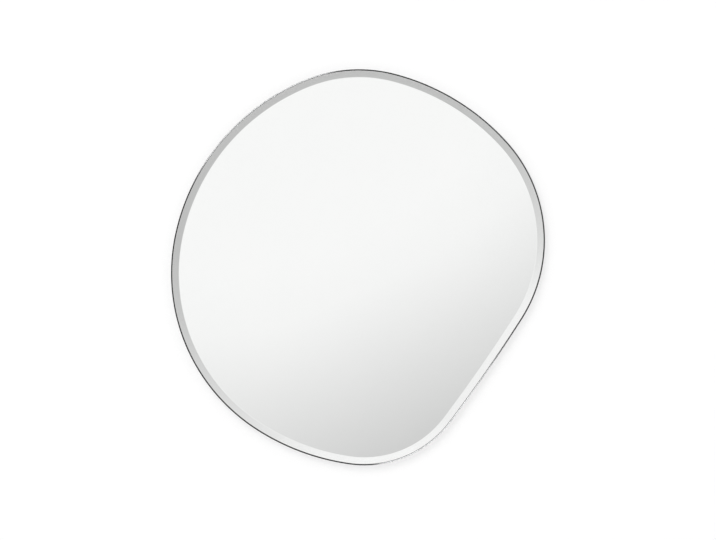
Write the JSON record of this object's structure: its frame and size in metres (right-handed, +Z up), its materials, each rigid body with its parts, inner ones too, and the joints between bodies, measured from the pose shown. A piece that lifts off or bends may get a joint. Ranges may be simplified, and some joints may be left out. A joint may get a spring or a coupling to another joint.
{
  "type": "irregular wall mirror",
  "caption": "Wall mirror with a smooth pebble-like outline, bevelled glass and a thin polished metal rim, on a backing board with keyhole hangers.",
  "frame": {"origin": "midway between the centres of the two keyholes' round entries, in the plane of the wall", "axes": "+Z up, +X to the right as seen from the front, -Y out of the wall towards the viewer"},
  "size_m": [0.5655, 0.0201, 0.5991],
  "materials": {
    "rim": "dark chrome plating, finely brushed along a thin steel strip",
    "glass": "clear float glass with a ground and polished bevel and edge",
    "silver": "silvering on the back of the glass, with grey backing paint",
    "tape": "white closed-cell foam tape",
    "board": "fibreboard with a matt black painted back",
    "lug": "bent steel with a thin black coating",
    "hanger": "pressed steel, bright zinc plated",
    "screw": "bright zinc plated steel",
    "pad": "matt black rubber"
  },
  "bodies": {
    "root": {"rim_band": "rim", "rim_lug_right": "lug", "rim_lug_upper_right": "lug", "rim_lug_upper_left": "lug", "rim_lug_left": "lug", "rim_lug_lower_left": "lug", "rim_lug_lower_right": "lug", "backing_board": "board", "lug_screws": "screw", "hanger_screws": "screw", "hanger_left": "hanger", "hanger_right": "hanger", "wall_pad_1": "pad", "wall_pad_2": "pad", "wall_pad_3": "pad", "wall_pad_4": "pad", "mirror_glass": "glass", "silver_coating": "silver", "mounting_tape_1": "tape", "mounting_tape_2": "tape", "mounting_tape_3": "tape", "mounting_tape_4": "tape", "mounting_tape_5": "tape"}
  },
  "joints": []
}
